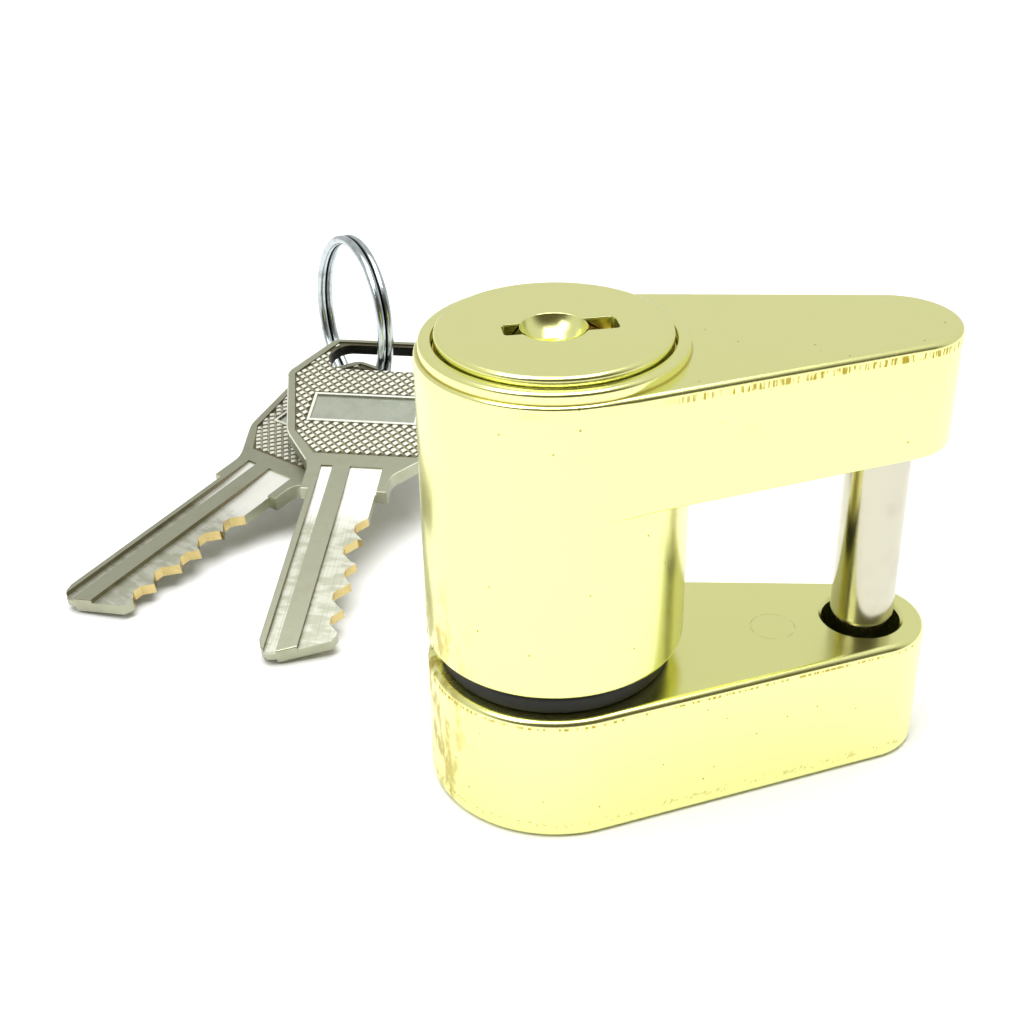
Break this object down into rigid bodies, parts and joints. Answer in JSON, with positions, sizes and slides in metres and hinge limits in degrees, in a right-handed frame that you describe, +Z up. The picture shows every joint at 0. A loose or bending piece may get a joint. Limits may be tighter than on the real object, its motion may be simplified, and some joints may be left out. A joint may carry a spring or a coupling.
{
  "type": "pin lock",
  "caption": "Keyed pin lock: a barrel with a side arm and a round steel pin that drops into a matching drop-shaped base, with cut keys on a split ring.",
  "frame": {"origin": "on the barrel's axis, in the face that the base stands on", "axes": "+Z up along the barrel and the shackle pin, +X from the barrel to the shackle pin"},
  "size_m": [0.0915, 0.1036, 0.0487],
  "materials": {
    "gold_plate": "bright pale gold plate on zinc casting",
    "pin_steel": "ground and polished",
    "inner_brass": "turned",
    "inner_steel": "plain",
    "nickel": "satin nickel plate",
    "ring_steel": "bright nickel plate",
    "rubber": "matt"
  },
  "bodies": {
    "base": {"base_plate": "gold_plate", "keeper_plate": "inner_steel", "base_cover": "inner_steel", "rattle_washer": "rubber"},
    "lock": {"lock_body": "gold_plate", "shackle_pin": "pin_steel", "cylinder_shell": "inner_brass", "shell_pin": "inner_steel", "chamber_cover": "inner_brass", "driver_springs": "inner_steel"},
    "drivers": {"driver_pins": "inner_brass"},
    "plug": {"plug": "inner_brass", "face_disc": "gold_plate", "face_dowels": "inner_steel", "key_pins": "inner_brass", "thrust_washer": "inner_steel", "circlip": "inner_steel", "locking_tail": "inner_steel", "tail_pin": "inner_steel"},
    "ring": {"key_ring": "ring_steel"},
    "key_a": {"front_key": "nickel"},
    "key_b": {"rear_key": "nickel"}
  },
  "joints": [
    {"name": "body_lift", "type": "slide", "parent": "base", "child": "lock", "axis": [0, 0, 1], "range_m": [0, 0.03]},
    {"name": "key_turn", "type": "hinge", "parent": "lock", "child": "plug", "pos_m": [0, 0, 0.03], "axis": [0, 0, 1], "range_deg": [0, 90]},
    {"name": "tumbler_lift", "type": "slide", "parent": "lock", "child": "drivers", "axis": [1, 0, 0], "range_m": [0, 0.0006], "stiffness_N_per_m": 100, "springref_m": -0.0005, "deforming": ["driver_springs"]},
    {"name": "key_set_lift", "type": "slide", "parent": "base", "child": "ring", "axis": [0, 0, 1], "range_m": [0, 0.04]},
    {"name": "front_key_swing", "type": "hinge", "parent": "ring", "child": "key_a", "pos_m": [-0.01123, 0.0706, 0.01435], "axis": [-0.0687, -0.232, 0.9703], "range_deg": [-3, 8]},
    {"name": "rear_key_swing", "type": "hinge", "parent": "ring", "child": "key_b", "pos_m": [-0.01238, 0.07305, 0.00988], "axis": [-0.1144, -0.1067, 0.9877], "range_deg": [-20, 3]}
  ]
}
